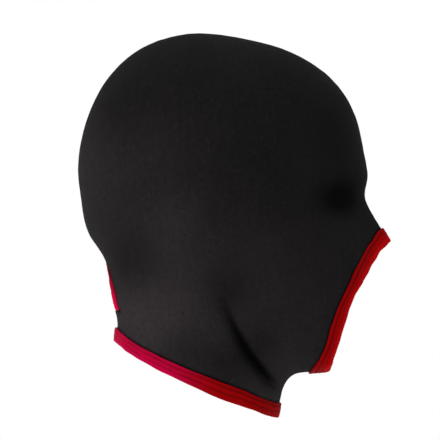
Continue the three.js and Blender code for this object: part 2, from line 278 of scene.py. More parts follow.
def evened(rows, closed, times):  # averages each row with its neighbours
    for _ in range(times):
        if closed:
            rows = (np.roll(rows, 1, axis=0) + 2 * rows + np.roll(rows, -1, axis=0)) / 4
        else:
            rows = np.vstack([rows[:1], (rows[:-2] + 2 * rows[1:-1] + rows[2:]) / 4, rows[-1:]])
    return rows


def slope(rows, closed):
    if closed:
        return (np.roll(rows, -1, axis=0) - np.roll(rows, 1, axis=0)) / 2
    return np.gradient(rows, axis=0)


def settled(points):  # carries the nape a little further in
    ahead, up = -points[:, 1] / mm, points[:, 2] / mm
    away = np.hypot(ahead - nape["ahead"], up - nape["up"])
    inwards = nape["depth"] * bell(away, nape["reach"]) * bell(points[:, 0], nape["wide"])
    return points - np.outer(inwards, (0, 1, 0))


def edgeLine(tape):
    closed = tape["closed"]
    panelPoints = np.vstack([pointsOf(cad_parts[n]) for n in ("left_panel", "right_panel")])
    chains = sorted(grooveChains(tape["node"]), key=lambda c: nearestOn(c, panelPoints)[1].mean())
    outer, inner = chains[:2]  # the groove beside the fabric comes first
    if closed:
        inner = np.roll(inner, -int(nearestOn(outer[:1], inner)[0][0]), axis=0)
        if np.linalg.norm(inner[1] - outer[1]) > np.linalg.norm(inner[-1] - outer[1]):
            inner = np.roll(inner[::-1], 1, axis=0)
    elif np.linalg.norm(inner[0] - outer[0]) > np.linalg.norm(inner[-1] - outer[0]):
        inner = inner[::-1]
    rows, at, length = alongLine(np.hstack([outer, inner]), closed, sewing["stepAlong"])
    first, second = rows[:, :3], rows[:, 3:]
    low, high = sewing["grooveShares"]
    middle = first + (second - first) * (-low / (high - low))
    along = unit(evened(slope(middle, closed), closed, sewing["evening"]))
    across = evened(second - first, closed, sewing["evening"])
    across = unit(across - along * (across * along).sum(1, keepdims=True))
    out = np.cross(along, across)
    if closed and (out * (middle - middle.mean(0))).sum() < 0:
        out = -out
    if not closed and out[:, 1].mean() < 0:  # the keyhole faces the back
        out = -out
    middle = settled(middle - out * sewing["grooveHeight"] * tape["halfThick"])
    bend = np.linalg.norm(slope(along, closed), axis=1) / sewing["stepAlong"]
    return {"middle": middle, "along": along, "across": across, "out": out, "at": at, "length": length,
            "bend": evened(bend[:, None], closed, sewing["bendEvening"])[:, 0]}


def edgeMoves(tape):  # at each place of the line
    rows = np.array(tape["edges"])
    place = tape["line"]["middle"] @ tape["axis"] / mm
    moves = [np.interp(place, rows[:, 0], column)[:, None] for column in rows[:, 1:].T]
    moves = [evened(move, tape["closed"], sewing["moveEvening"])[:, 0] for move in moves]
    return np.array(moves) * np.array([[mm], [mm], [mm], [1], [1]])


for tape in tapes.values():
    tape["line"] = edgeLine(tape)
    tape["moves"] = edgeMoves(tape)
    print("hood: edge line of", tape["node"], len(tape["line"]["at"]), "places,",
          round(tape["line"]["length"] / mm), "mm")


# fabric: the outer faces of both CAD panels, evened out into one dense skin

hoodSkin = {
    "flatAngle": math.radians(58), "seamJoin": 0.36 * mm,
    "quadAngle": math.radians(45), "quadShape": math.radians(60), "levels": 2,
    "voxel": 1.6 * mm, "evening": 8, "ease": 0.5, "smoothing": 5,
    "offSkin": 1.1 * mm, "sliver": 0.35 * mm, "trims": 6, "crumple": 0.3 * mm * mm,
}


def outerFaces(node):
    obj = copyOf(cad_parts[node], node + "Outer")
    startEdit(obj, "FACE", "SELECT")
    bpy.ops.mesh.remove_doubles(threshold=weld)
    bpy.ops.mesh.select_all(action="DESELECT")
    bm = bmesh.from_edit_mesh(obj.data)
    max(bm.faces, key=lambda f: f.calc_center_median().z).select = True  # the crown
    bmesh.update_edit_mesh(obj.data)
    bpy.ops.mesh.faces_select_linked_flat(sharpness=hoodSkin["flatAngle"])
    bpy.ops.mesh.select_all(action="INVERT")
    bpy.ops.mesh.delete(type="FACE")
    endEdit()
    return obj


skin, other = outerFaces("left_panel"), outerFaces("right_panel")
activate(skin)
other.select_set(True)
bpy.ops.object.join()
startEdit(skin, "VERT", "SELECT")
bpy.ops.mesh.remove_doubles(threshold=hoodSkin["seamJoin"])
bpy.ops.mesh.tris_convert_to_quads(face_threshold=hoodSkin["quadAngle"],
                                   shape_threshold=hoodSkin["quadShape"])
endEdit()

form = copyOf(skin, "hoodForm")  # closed over its three openings, then remeshed evenly
startEdit(form, "EDGE")
selectOpenEdges()
bpy.ops.mesh.fill_holes(sides=0)
bpy.ops.mesh.select_all(action="SELECT")
bpy.ops.mesh.quads_convert_to_tris()
bpy.ops.mesh.normals_make_consistent(inside=False)
endEdit()
finishWith(form, "REMESH", mode="VOXEL", voxel_size=hoodSkin["voxel"])
finishWith(form, "SMOOTH", factor=hoodSkin["ease"], iterations=hoodSkin["evening"])
finishWith(skin, "SUBSURF", levels=hoodSkin["levels"], render_levels=hoodSkin["levels"])
print("hood: even form of", len(form.data.vertices), "points over a skin of", len(skin.data.vertices))


def selectFaces(obj, chosen):  # leaves edit mode on, with these faces chosen
    bm = startEdit(obj, "FACE")
    bm.faces.ensure_lookup_table()
    for i in np.flatnonzero(chosen):
        bm.faces[i].select = True
    bmesh.update_edit_mesh(obj.data)


def deleteFaces(obj, chosen):
    selectFaces(obj, chosen)
    bpy.ops.mesh.delete(type="FACE")
    endEdit()


tree = BVHTree.FromObject(skin, bpy.context.evaluated_depsgraph_get())
off = [tree.find_nearest(p)[3] > hoodSkin["offSkin"] for p in pointsOf(form)]
deleteFaces(form, np.array([all(off[i] for i in f.vertices) for f in form.data.polygons]))
finishWith(form, "SHRINKWRAP", target=skin, wrap_method="NEAREST_SURFACEPOINT")
startEdit(form, "VERT", "SELECT")
bpy.ops.mesh.remove_doubles(threshold=hoodSkin["sliver"])
endEdit()


def boundaryOf(obj):  # True for each point on an open edge
    bm = bmesh.new()
    bm.from_mesh(obj.data)
    flags = np.array([v.is_boundary for v in bm.verts])
    bm.free()
    return flags


def smoothInside(obj):  # the open edges stay where they are
    group = obj.vertex_groups.new(name="inside")
    group.add(np.flatnonzero(~boundaryOf(obj)).tolist(), 1.0, "REPLACE")
    finishWith(obj, "SMOOTH", factor=hoodSkin["ease"], iterations=hoodSkin["smoothing"],
               vertex_group="inside")
    obj.vertex_groups.clear()


def crumpled(face):  # small beside an open edge, folded over its neighbour, or hung on one point
    if face.calc_area() < hoodSkin["crumple"] and any(v.is_boundary for v in face.verts):
        return True
    if any(sum(e.is_boundary for e in v.link_edges) > 2 for v in face.verts):
        return True
    return any(len(set(face.verts) & set(f.verts)) > 2 for e in face.edges for f in e.link_faces if f != face)


def trimEdges(obj):  # drops what the wrapping leaves crumpled along the open edges
    for _ in range(hoodSkin["trims"]):
        bm = startEdit(obj, "FACE")
        for face in [f for f in bm.faces if crumpled(f)]:
            face.select = True
        bmesh.update_edit_mesh(obj.data)
        bpy.ops.mesh.delete(type="FACE")
        endEdit()


trimEdges(form)
smoothInside(form)
movePoints(form, settled(pointsOf(form)))
print("hood: fabric form of", len(form.data.polygons), "faces, open edges", int(boundaryOf(form).sum()))


# side creases: one deep fold on each side, down and forwards to the front of the neck edge

crease = {
    "line": (  # mm ahead and up
        (15.5, -173), (18.2, -184.8), (23.6, -197.6), (31, -211.5),
        (40.5, -224.5), (46, -231), (51.5, -237.5),
    ),
    "strength": (0, 0.5, 0.85, 1, 1, 0.85, 0),  # at each place of the line
    "least": 0.02, "steps": 300, "fine": 9.0 * mm, "clearOfSeam": (12 * mm, 26 * mm),
    # the last is how broad the painted shade down the crease is
    "depth": 4.6 * mm, "steep": 2.3 * mm, "gentle": 3.8 * mm, "shadeWidth": 3.1 * mm,
    "lip": 0.4 * mm, "lipPlace": 6.0 * mm, "lipWidth": 2.4 * mm,
    "bulge": 1.4 * mm, "bulgePlace": 10.5 * mm, "bulgeWidth": 4.6 * mm,
}


def besideCrease(points):  # distance in the side view, whether in front of it, and the strength there
    rows = np.array(crease["line"]) * mm
    steps = np.linspace(0, len(rows) - 1, crease["steps"])
    line = np.column_stack([np.interp(steps, range(len(rows)), column) for column in rows.T])
    strength = np.interp(steps, range(len(rows)), crease["strength"])
    flat = np.column_stack([-points[:, 1], points[:, 2]])
    near, far = nearestOn(np.pad(flat, ((0, 0), (0, 1))), np.pad(line, ((0, 0), (0, 1))))
    run, away = slope(line, False)[near], flat - line[near]
    frontSide = run[:, 0] * away[:, 1] > run[:, 1] * away[:, 0]
    return far, frontSide, strength[near] * smooth(np.abs(points[:, 0]), *crease["clearOfSeam"])


def foldCrease(obj):
    centres = np.array([f.center for f in obj.data.polygons])
    far, _, strength = besideCrease(centres)
    selectFaces(obj, (far < crease["fine"]) & (strength > crease["least"]))
    bpy.ops.mesh.subdivide(number_cuts=1, ngon=False)
    endEdit()
    points = pointsOf(obj)
    far, frontSide, strength = besideCrease(points)
    push = -crease["depth"] * bell(far, np.where(frontSide, crease["steep"], crease["gentle"]))
    lip = crease["lip"] * bell(far - crease["lipPlace"], crease["lipWidth"])
    bulge = crease["bulge"] * bell(far - crease["bulgePlace"], crease["bulgeWidth"])
    push += np.where(frontSide, lip, bulge)
    movePoints(obj, points + normalsOf(obj) * (push * strength)[:, None])


foldCrease(form)
print("hood: side creases folded,", len(form.data.polygons), "faces")


# panels: one half is shaped and its twin mirrored, then each gets its own small unevenness

fabric = {
    "thickness": 1.4 * mm, "tapeReach": 8 * mm, "tapeApart": 10,
    "tuckShort": 1.0 * mm, "tuckHeight": 0.7 * mm, "tuckCuts": 3, "footTurn": 1.6 * mm,
    "pastEnd": 0.8 * mm,  # how far past a tape's end the cloth still lies in its fold
    "tuckRoom": 0.3 * mm, "tuckBlend": (0.2 * mm, 1.2 * mm), "tuckFade": 1 * mm, "tuckThin": 0.55,
    "seamLoops": (0.7 * mm, 1.8 * mm), "seamDepth": 0.85 * mm, "seamWidth": 1.1 * mm, "seamGap": -0.03 * mm,
    "pucker": 0.16 * mm, "puckerLength": 5.5 * mm, "puckerPlace": 2.2 * mm, "puckerWidth": 3 * mm,
    "gather": 0.28 * mm, "gatherLength": 7 * mm, "gatherSeed": 0.3, "gatherReach": 6.0 * mm,
    "gatherFrom": 6 * mm, "gatherClear": 4.6 * mm,  # from the middle of the tape
    "unevenness": 0.35 * mm, "swellLength": 34 * mm, "swellShape": (0.8, 2.0, 3), "seeds": (3.1, 8.7),
    "looseFromSeam": 14 * mm, "looseFromTape": (5 * mm, 12 * mm),
    "flat": (0.25, 0.30), "flatArea": 0.052,  # one panel's cut before it is stretched, in metres
    "pullAndLight": (-1.04, -0.89), "pullAndLightSpan": (28, 218),  # of mm ahead and up: pulled open most low at the back, and painted light there
    "spots": (  # mm ahead and up, reach, and how much more or less pull and painted light it has there; the darker spots are painted shade
        (-47, -155, 22, -0.76), (-60, -52, 26, -0.34), (24, -14, 20, 0.1), (72, -160, 40, 0.17),
        (-34, -184, 27, 0.42), (18, -222, 20, -0.75), (-12, -214, 18, -0.55), (17, -172, 17, -0.5),
        (40, -206, 14, -0.45), (-54, -122, 24, -0.3), (100, -68, 24, -0.2), (-18, -128, 18, 0.22),
    ),
    "hollow": (94, -110, 15, 11),  # mm ahead and up, half length and half height of its shadow
    # how dark the painted shade is in the eye hollow, the side creases and along the tape edges
    "hollowShade": 0.9, "hollowFirm": 1.4, "hollowClear": (6 * mm, 22 * mm),
    "creaseShade": 0.9, "edgeShade": 0.95, "edgeLine": (0.3 * mm, 1.0 * mm),
}
lines = [tape["line"] for tape in tapes.values()]
allMiddle, allAlong, allAcross, allOut = (
    np.vstack([line[side] for line in lines]) for side in ("middle", "along", "across", "out"))
allAt = np.concatenate([line["at"] + fabric["tapeApart"] * i for i, line in enumerate(lines)])
allEdge = np.concatenate([t["halfWidth"] + t["overlap"] - t["moves"][0] for t in tapes.values()])


def besideTape(points):  # from the nearest place of a tape: how far along, across and out, and which place
    near, far = nearestOn(points, allMiddle)
    away = points - allMiddle[near]
    return [(away * side[near]).sum(1) for side in (allAlong, allAcross, allOut)] + [near, far]


def tuckEdges(obj):  # carries each open edge on into the fold of its tape
    startEdit(obj, "EDGE")
    selectOpenEdges()
    bpy.ops.mesh.extrude_edges_move(TRANSFORM_OT_translate={"value": (0, 0, 0)})
    bm = bmesh.from_edit_mesh(obj.data)
    verts = [v for v in bm.verts if v.select]
    along, across, _, near, far = besideTape(np.array([v.co[:] for v in verts]))
    inFold = (allMiddle[near] + allAlong[near] * along[:, None] - allAcross[near] * fabric["tuckShort"]
              + allOut[near] * fabric["tuckHeight"])
    sewn = (far < fabric["tapeReach"]) & (across < -fabric["tuckShort"]) & (np.abs(along) < fabric["pastEnd"])
    strip = [e for e in bm.edges if e.verts[0].select != e.verts[1].select]
    for vert, place, inside in zip(verts, inFold, sewn):
        if inside:
            vert.co = Vector(place)
        else:
            vert.co -= vert.normal.normalized() * fabric["footTurn"]  # the keyhole's plain foot turns in
    bpy.ops.mesh.select_all(action="DESELECT")
    for edge in strip:
        edge.select = True
    bmesh.update_edit_mesh(obj.data)
    bpy.ops.mesh.subdivide(number_cuts=fabric["tuckCuts"])
    endEdit()


def cutAtSeam(obj):
    for depth in (*fabric["seamLoops"], 0):
        startEdit(obj, "VERT", "SELECT")
        bpy.ops.mesh.bisect(plane_co=(-depth, 0, 0), plane_no=(1, 0, 0), clear_outer=depth == 0)
        endEdit()


tuckEdges(form)
cutAtSeam(form)
print("hood: right half of", len(form.data.polygons), "faces")


def mapFlat(obj):  # lays the half out flat, in metres, upright, so that the knit follows the cloth
    startEdit(obj, "FACE", "SELECT")
    bpy.ops.uv.unwrap(method="CONFORMAL", margin=0.0)
    endEdit()
    layer = obj.data.uv_layers.active
    layer.name = "knitMap"
    flat = valuesOf(layer.data, "uv", 2) - 0.5
    points = pointsOf(obj)[cornersOf(obj)]
    edgesFlat = np.linalg.norm(flat - np.roll(flat, 1, axis=0), axis=1)
    edgesReal = np.linalg.norm(points - np.roll(points, 1, axis=0), axis=1)
    flat *= np.median(edgesReal) / np.median(edgesFlat)
    height = points[:, 2] - points[:, 2].mean()
    up = unit(np.array([flat[:, 0] @ height, flat[:, 1] @ height]))
    turned = np.column_stack([flat[:, 0] * up[1] - flat[:, 1] * up[0],
                              flat[:, 0] * up[0] + flat[:, 1] * up[1]])
    layer.data.foreach_set("uv", turned.ravel())


def underTape(points):  # how far under a tape, 0 to 1, how high over its fold's middle, and its outward side
    along, across, height, near, far = besideTape(points)
    under = smooth(across + allEdge[near], *fabric["tuckBlend"])
    under = under * (1 - smooth(np.abs(along), 0, fabric["tuckFade"]))
    return under * (far < fabric["tapeReach"]), height, allOut[near]


def shapeHalf(obj):  # the valley of the seam and the gathers beside the tapes
    points, normals = pointsOf(obj), normalsOf(obj)
    fromSeam = np.abs(points[:, 0])
    push = -fabric["seamDepth"] * bell(fromSeam, fabric["seamWidth"])
    ripple = np.array([noise.noise(Vector(p) / fabric["puckerLength"]) for p in points * [0, 1, 1]])
    push += fabric["pucker"] * ripple * bell(fromSeam - fabric["puckerPlace"], fabric["puckerWidth"])
    near, far = nearestOn(points, allMiddle)
    fromEdge = np.maximum(far - fabric["gatherFrom"], 0)
    size, seed = fabric["gatherLength"], fabric["gatherSeed"]
    gather = np.array([noise.noise(Vector((a / size, seed, 0))) for a in allAt[near]])
    push += fabric["gather"] * gather * bell(fromEdge, fabric["gatherReach"]) * (far > fabric["gatherClear"])
    points += normals * push[:, None]
    under, height, out = underTape(points)  # inside its fold the cloth stays below the sewn grooves
    points -= out * (under * np.maximum(height - fabric["tuckRoom"], 0))[:, None]
    points[fromSeam < weld, 0] = -fabric["seamGap"]
    movePoints(obj, points)


def addValues(obj, name, values):
    obj.data.attributes.new(name, "FLOAT", "POINT").data.foreach_set("value", values)


def pulledAndLit(points):  # 0 where the cloth lies slack and darkest, 1 where it is pulled most and lightest: stretch and painted light together
    ahead, up = -points[:, 1] / mm, points[:, 2] / mm
    pullAndLight = smooth(ahead * fabric["pullAndLight"][0] + up * fabric["pullAndLight"][1], *fabric["pullAndLightSpan"])
    for spotAhead, spotUp, reach, more in fabric["spots"]:
        pullAndLight = pullAndLight + more * bell(np.hypot(ahead - spotAhead, up - spotUp), reach)
    return pullAndLight


def markPanel(obj):  # how far the knit is pulled open and painted light, and its painted shade in the creases, the hollow and along the tapes
    points = pointsOf(obj)
    far, _, strength = besideCrease(points)
    # painted shade down each side crease
    dark = fabric["creaseShade"] * strength * bell(far, crease["shadeWidth"])
    # painted shadow of the eye hollow
    ahead, up, long, tall = fabric["hollow"]
    inHollow = bell(np.hypot((-points[:, 1] / mm - ahead) / long, (points[:, 2] / mm - up) / tall), 1)
    inHollow = np.minimum(fabric["hollowFirm"] * inHollow, 1)
    inHollow = inHollow * smooth(np.abs(points[:, 0]), *fabric["hollowClear"])
    dark = np.maximum(dark, fabric["hollowShade"] * inHollow)
    along, across, height, near, _ = besideTape(points)
    # painted shadow line along each tape's edge, where the band stands proud
    full, fade = fabric["edgeLine"]
    off = np.hypot(np.maximum(np.hypot(across, height) - allEdge[near] - full, 0), along)
    dark = np.maximum(dark, fabric["edgeShade"] * bell(off, fade))
    addValues(obj, "pulledAndLit", pulledAndLit(points))
    addValues(obj, "folded", dark)


def unevenPanel(obj, seed):  # each side lies a little differently
    points, normals = pointsOf(obj), normalsOf(obj)
    _, far = nearestOn(points, allMiddle)
    tight, span = fabric["looseFromTape"]
    loose = np.clip(np.abs(points[:, 0]) / fabric["looseFromSeam"], 0, 1)
    loose = loose * np.clip((far - tight) / span, 0, 1)
    size, start = fabric["swellLength"], Vector((seed, 0, 0))
    swell = np.array([noise.fractal(Vector(p) / size + start, *fabric["swellShape"]) for p in points])
    movePoints(obj, points + normals * (fabric["unevenness"] * swell * loose)[:, None])


def thinCloth(obj):  # the sewing presses the cloth thin inside its tapes
    group = obj.vertex_groups.new(name="body")
    for i, share in enumerate(underTape(pointsOf(obj))[0]):
        group.add([i], 1 - fabric["tuckThin"] * share, "REPLACE")


shapeHalf(form)
mapFlat(form)
markPanel(form)
rightPanel = form
rightPanel.name = "rightPanel"
leftPanel = copyOf(rightPanel, "leftPanel")
movePoints(leftPanel, pointsOf(leftPanel) * [-1, 1, 1])
startEdit(leftPanel, "FACE", "SELECT")
bpy.ops.mesh.flip_normals()
endEdit()
for panel, node, seed in zip((rightPanel, leftPanel), ("right_panel", "left_panel"), fabric["seeds"]):
    unevenPanel(panel, seed)
    thinCloth(panel)
    finishWith(panel, "SOLIDIFY", thickness=fabric["thickness"], offset=-1, use_even_offset=False,
               vertex_group="body")
    panel.vertex_groups.clear()
    activate(panel)
    bpy.ops.object.shade_smooth()
    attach(panel, "root")
    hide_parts(node)
    tell(panel)


# bindings: a ring laid along each bound edge, folded over it and sewn through in rows

def ringNoise(line, fineness, seed):  # along a line and back to its start without a step
    turn = line["at"] / line["length"] * math.tau
    reach = line["length"] / fineness / math.tau
    return np.array([noise.noise(Vector((math.cos(t) * reach, math.sin(t) * reach, seed))) for t in turn])


def sewnPlaces(tape):  # where each groove runs at each place of the line, and how deep
    line = tape["line"]
    amount, reach = sewing["calm"]
    calm = 1 - amount * bell(line["middle"][:, 0], reach)
    rows = []
    for (place, depth, width), share in zip(tape["grooves"], tape["moves"][3:]):
        drift = sewing["wander"] * ringNoise(line, sewing["wanderLength"], sewing["wanderSeed"] + place)
        rows.append((place + drift, depth * calm * share, width))
    return rows


def pressed(tape):  # the tacks press the ends of an open tape thin
    at, length = tape["line"]["at"], tape["line"]["length"]
    fromEnd = at + length if tape["closed"] else np.minimum(at, length - at)
    return 1 - sewing["pressed"] * (1 - smooth(fromEnd, *sewing["pressSpan"]))


def tapeHeight(tape, share, inner, i):  # the folded tape's surface above the middle of the wall
    power = np.where(share < 0, sewing["crisp"], sewing["soft"])
    height = (1 - np.minimum(np.abs(share), 1) ** power) ** (1 / power)
    for place, depth, width in sewnPlaces(tape):
        height = height - depth[i] * bell(share - place[i], width) * np.where(inner, sewing["insideDepth"], 1)
    return height * tape["halfThick"] * pressed(tape)[i]


def layTape(name, tape):
    line, count, around = tape["line"], len(tape["line"]["at"]), sewing["stepsRound"]
    clearSelection()
    bpy.ops.mesh.primitive_torus_add(major_segments=count, minor_segments=around, major_radius=1,
                                     minor_radius=0.2)
    obj = bpy.context.object
    obj.name = obj.data.name = name
    start = pointsOf(obj)
    reach = np.hypot(start[:, 0], start[:, 1])
    i = np.round(np.arctan2(start[:, 1], start[:, 0]) / math.tau * count).astype(int) % count
    j = np.round(np.arctan2(start[:, 2], reach - 1) / math.tau * around).astype(int) % around
    share, inner = -np.cos(j / around * math.tau), j > around / 2
    at = line["at"][i]
    turn, swing = at / line["length"] * math.tau, sewing["waveReach"]
    wave = np.array([noise.noise(Vector((math.cos(t) * swing, math.sin(t) * swing, s)))
                     for t, s in zip(turn, share)])
    stitchWave = np.cos(at / sewing["pitch"] * math.tau)
    nearGroove = sum(bell(share - place[i], sewing["rowWidth"]) for place, *_ in sewnPlaces(tape))
    bend = np.clip((line["bend"][i] - sewing["tightBend"]) / sewing["bendSpan"], 0, 1)
    folds = np.sin(at / sewing["foldLength"] * math.tau + sewing["foldStray"] * wave)
    folds = folds * bend * np.clip(0.5 + 0.5 * share, 0, 1)
    calm = sewing["wrinkleCalm"]
    wrinkle = ringNoise(line, sewing["wrinkleLength"], sewing["wrinkleSeed"])[i]
    wrinkle = wrinkle * (calm + (1 - calm) * np.minimum(nearGroove, 1))
    fabricSide, openSide, proud = tape["moves"][:3, i]
    height = tapeHeight(tape, share, inner, i) + sewing["stitchHeight"] * stitchWave * nearGroove
    height = height + sewing["waveHeight"] * (wave + wrinkle) + tape["gather"] * folds
    height = np.where(inner, -height, height + proud)
    wide = share * (tape["halfWidth"] + np.where(share < 0, tape["overlap"], 0)) + sewing["edgeWave"] * wave
    wide = wide + fabricSide * (1 - share) / 2 + openSide * (1 + share) / 2
    movePoints(obj, line["middle"][i] + line["across"][i] * wide[:, None] + line["out"][i] * height[:, None])
    markTape(obj, i, share, tape)
    mapTape(obj, i, j, tape)
    if not tape["closed"]:  # the arch has two ends
        faceSteps = np.array([[i[v] for v in f.vertices] for f in obj.data.polygons])
        deleteFaces(obj, faceSteps.max(1) - faceSteps.min(1) > count / 2)
        startEdit(obj, "EDGE")
        selectOpenEdges()
        bpy.ops.mesh.fill_holes(sides=0)
        endEdit()
    smoothOut(obj)
    return obj


def markTape(obj, i, share, tape):  # how far the tape is pulled and painted light, and its painted shade in the grooves and beside the fabric
    places, least = tape["line"]["middle"][i], sewing["leastPull"]
    pullAndLight = smooth(places[:, 1] / mm, *sewing["tapePullAndLight"])
    addValues(obj, "pulledAndLit", pullAndLight * (least + (1 - least) * smooth(share, *sewing["pullAndLightSpan"])))
    # painted shade in the grooves
    paintedShade = sum(sewing["grooveShade"] * depth[i] * bell(share - place[i], sewing["grooveShadeWidth"] * width)
               for place, depth, width in sewnPlaces(tape))
    shade = np.interp(places @ tape["axis"] / mm, *np.array(tape["shade"]).T)
    shade = shade + tape["fabricShade"] * (1 - smooth(share, *sewing["litSpan"]))
    addValues(obj, "paintedShade", 1 - (1 - paintedShade) * (1 - shade))


def mapTape(obj, i, j, tape):  # metres along and across the tape
    count, around = len(tape["line"]["at"]), sewing["stepsRound"]
    layer = obj.data.uv_layers.active or obj.data.uv_layers.new()
    layer.name = "tapeMap"
    corners = cornersOf(obj)
    stepI, stepJ = i[corners].reshape(-1, 4), j[corners].reshape(-1, 4)
    stepI = stepI + count * ((stepI.max(1) - stepI.min(1) > count / 2)[:, None] & (stepI < count / 2))
    stepJ = stepJ + around * ((stepJ.max(1) - stepJ.min(1) > around / 2)[:, None] & (stepJ < around / 2))
    u, across = stepI * tape["line"]["length"] / count, -np.cos(stepJ / around * math.tau)
    v = np.where(stepJ <= around / 2, across, 2 - across)
    layer.data.foreach_set("uv", np.stack([u, v * tape["halfWidth"]], axis=-1).ravel())


bindings = {}
for name, tape in tapes.items():
    bindings[name] = layTape(name, tape)
    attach(bindings[name], "root")
    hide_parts(tape["node"])
    tell(bindings[name])


# stitches: one thread stitch is shaped, then set along every sewn row

yarn = {
    "length": 2.1 * mm, "thread": 0.22 * mm, "sides": 6, "rings": 6,
    "dive": 0.3 * mm, "standOut": 0.5,  # the ends dive in, the rest stands out
    "lean": 0.05, "seed": 7,
    "tackCount": 5, "tackRings": 10, "tackPitch": 0.46 * mm, "tackReach": 1.58, "tackThick": 1.3,
    "tackDrop": 1.5 * mm, "tackTurn": 10, "tackLift": 0.42 * mm,  # the ends turn down
    "tackStart": -1.2 * mm, "tackSide": -1.7 * mm,  # from the tape's end, and from its middle
    "clothHeight": 0.5 * mm, "clothSpan": (-0.4 * mm, 0.4 * mm),  # the first tack stitches lie on the cloth
}


def oneStitch(rings):
    clearSelection()
    bpy.ops.mesh.primitive_uv_sphere_add(segments=yarn["sides"], ring_count=rings, radius=1)
    obj = bpy.context.object
    startEdit(obj, "VERT", "SELECT")
    thin, half = yarn["thread"], yarn["length"] / 2
    bpy.ops.transform.resize(value=(thin, thin, half))
    endEdit()
    points = pointsOf(obj)[:, [2, 0, 1]]  # along, across, out
    points[:, 2] -= yarn["dive"] * (points[:, 0] / half) ** 2
    faces = [list(f.vertices) for f in obj.data.polygons]
    bpy.data.objects.remove(obj)
    return points, faces


def sewnObject(name, blocks, faces):  # one block of points for each stitch
    mesh = bpy.data.meshes.new(name)
    starts = range(0, len(blocks) * len(blocks[0]), len(blocks[0]))
    mesh.from_pydata(np.vstack(blocks).tolist(), [], [[s + v for v in f] for s in starts for f in faces])
    obj = newObject(name, mesh)
    smoothOut(obj)
    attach(obj, "root")
    return obj


def sewRows(name, tape):
    shape, faces = oneStitch(yarn["rings"])
    line, standOut = tape["line"], yarn["standOut"] * yarn["thread"]
    chance = np.random.default_rng(yarn["seed"])
    count = int(line["length"] / sewing["pitch"])
    blocks = []
    for places, *_ in sewnPlaces(tape):
        heights = tapeHeight(tape, places, False, np.arange(len(places))) + standOut
        for k in range(count):
            i = int((k + 0.5) / count * len(line["at"]))
            lean = chance.normal(0, yarn["lean"])
            place, out = places[i], line["out"][i]
            fabricSide, openSide, proud = tape["moves"][:3, i]
            wide = place * (tape["halfWidth"] + (tape["overlap"] if place < 0 else 0))
            wide += fabricSide * (1 - place) / 2 + openSide * (1 + place) / 2
            along = unit(line["along"][i] + line["across"][i] * lean)
            centre = line["middle"][i] + line["across"][i] * wide + out * (heights[i] + proud)
            blocks.append(centre + shape @ np.stack([along, np.cross(out, along), out]))
    return sewnObject(name, blocks, faces)


def sewTacks(name, tape):  # a short bar of stitches over each end of the keyhole's tape
    shape, faces = oneStitch(yarn["tackRings"])
    side, across, out = (shape / [yarn["length"] / 2, 1, 1]).T[[1, 0, 2]]
    line, half = tape["line"], tape["halfWidth"] * yarn["tackReach"]
    low, high = yarn["clothHeight"], tape["halfThick"] * (1 - sewing["pressed"])
    blocks = []
    for end, step in ((0, 1), (len(line["at"]) - 1, -1)):
        for k in range(yarn["tackCount"]):
            fromEnd = yarn["tackStart"] + k * yarn["tackPitch"]
            i = end + step * max(int(round(fromEnd / sewing["stepAlong"])), 0)
            lift = yarn["tackLift"] + low + (high - low) * smooth(fromEnd, *yarn["clothSpan"])
            bar = np.column_stack([
                yarn["tackThick"] * side,
                half * across + yarn["tackSide"],
                yarn["tackThick"] * out + lift - yarn["tackDrop"] * across ** yarn["tackTurn"],
            ])
            shift = fromEnd * step - (line["at"][i] - line["at"][end])
            centre = line["middle"][i] + line["along"][i] * shift
            blocks.append(centre + bar @ np.stack([line[k][i] for k in ("along", "across", "out")]))
    return sewnObject(name, blocks, faces)


stitches = {}
for name, tape in tapes.items():
    stitches[name] = sewRows(name.replace("Binding", "Stitches"), tape)
    tell(stitches[name])

tacks = sewTacks("keyholeTacks", tapes["keyholeBinding"])
tell(tacks)

bpy.data.objects.remove(skin)


# finishes: knit, tape and thread

class Wire:  # a shader socket that takes part in sums
    def __init__(self, finish, socket):
        self.finish, self.socket = finish, socket

    def maths(self, operation, *others):
        return self.finish.node("ShaderNodeMath", {"operation": operation}, dict(enumerate((self, *others))))

    def __rsub__(self, other):
        return self * -1 + other

    __add__ = __radd__ = partialmethod(maths, "ADD")
    __sub__ = partialmethod(maths, "SUBTRACT")
    __mul__ = __rmul__ = partialmethod(maths, "MULTIPLY")
    __truediv__ = partialmethod(maths, "DIVIDE")

    def wave(self):  # 0 to 1 and back for each whole turn
        return 0.5 + 0.5 * (self * math.tau).maths("SINE")

    def part(self):
        return self.maths("FRACT")

    def size(self):
        return self.maths("ABSOLUTE")

    def between(self, low, high):  # 0 at low, 1 at high
        return self.finish.node("ShaderNodeMapRange", {"interpolation_type": "SMOOTHSTEP"},
                                {0: self, 1: low, 2: high, 3: 0.0, 4: 1.0})


